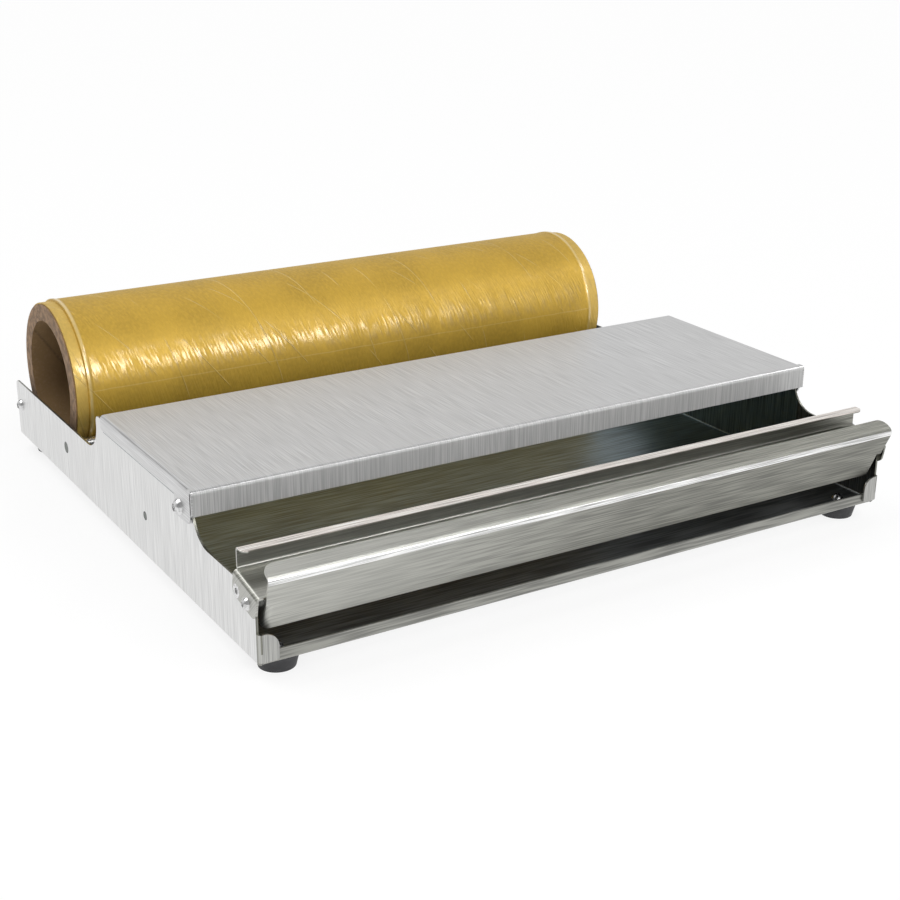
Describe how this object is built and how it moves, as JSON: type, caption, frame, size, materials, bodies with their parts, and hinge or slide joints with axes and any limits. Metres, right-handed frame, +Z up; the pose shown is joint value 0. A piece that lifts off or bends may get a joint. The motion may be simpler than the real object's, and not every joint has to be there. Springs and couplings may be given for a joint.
{
  "type": "cling film dispenser",
  "caption": "Stainless counter-top cling film dispenser: folded tray, film roll on a roller and rod, fixed worktop, channel film rest and a tilting front bar.",
  "frame": {"origin": "on the counter under the middle of the dispenser's box", "axes": "+X along the film roll to the user's right, +Y from the front bar to the back, +Z up"},
  "size_m": [0.4226, 0.389, 0.1123],
  "materials": {
    "tray_steel": "brushed across the width and up the sides",
    "worktop_steel": "brushed from front to back",
    "rail_steel": "brushed along the length",
    "rod_steel": "turned",
    "fastener_steel": "bright",
    "card": "raw spiral-wound card",
    "film": "clear film over a golden roll, taut and glossy",
    "rubber": "matt black"
  },
  "bodies": {
    "frame": {"body_tray": "tray_steel", "worktop": "worktop_steel", "worktop_screws": "fastener_steel", "worktop_spacers": "fastener_steel", "worktop_nuts": "fastener_steel", "film_rest": "rail_steel", "film_rest_screws": "fastener_steel", "film_rest_nuts": "fastener_steel", "pivot_screws": "fastener_steel", "pivot_spacers": "fastener_steel", "pivot_nuts": "fastener_steel", "back_rod": "rod_steel", "back_rod_screws": "fastener_steel", "guide_rod": "rod_steel", "front_left_foot": "rubber", "front_right_foot": "rubber", "back_left_foot": "rubber", "back_right_foot": "rubber", "foot_screws": "fastener_steel", "foot_nuts": "fastener_steel"},
    "bar": {"front_bar": "rail_steel"},
    "roll": {"card_core": "card", "film_winding": "film"},
    "roller": {"front_roller": "rod_steel"}
  },
  "joints": [
    {"name": "bar_tilt", "type": "hinge", "parent": "frame", "child": "bar", "pos_m": [0, -0.17622, 0.0404], "axis": [1, 0, 0], "range_deg": [0, 70]},
    {"name": "roll_spin", "type": "hinge", "parent": "frame", "child": "roll", "pos_m": [0, 0.14223, 0.06143], "axis": [1, 0, 0], "continuous": true},
    {"name": "roller_spin", "type": "hinge", "parent": "frame", "child": "roller", "pos_m": [0, 0.09578, 0.0316], "axis": [1, 0, 0], "continuous": true}
  ],
  "couplings": [
    {"joint": "roller_spin", "follows": "roll_spin", "ratio": -12.725}
  ]
}
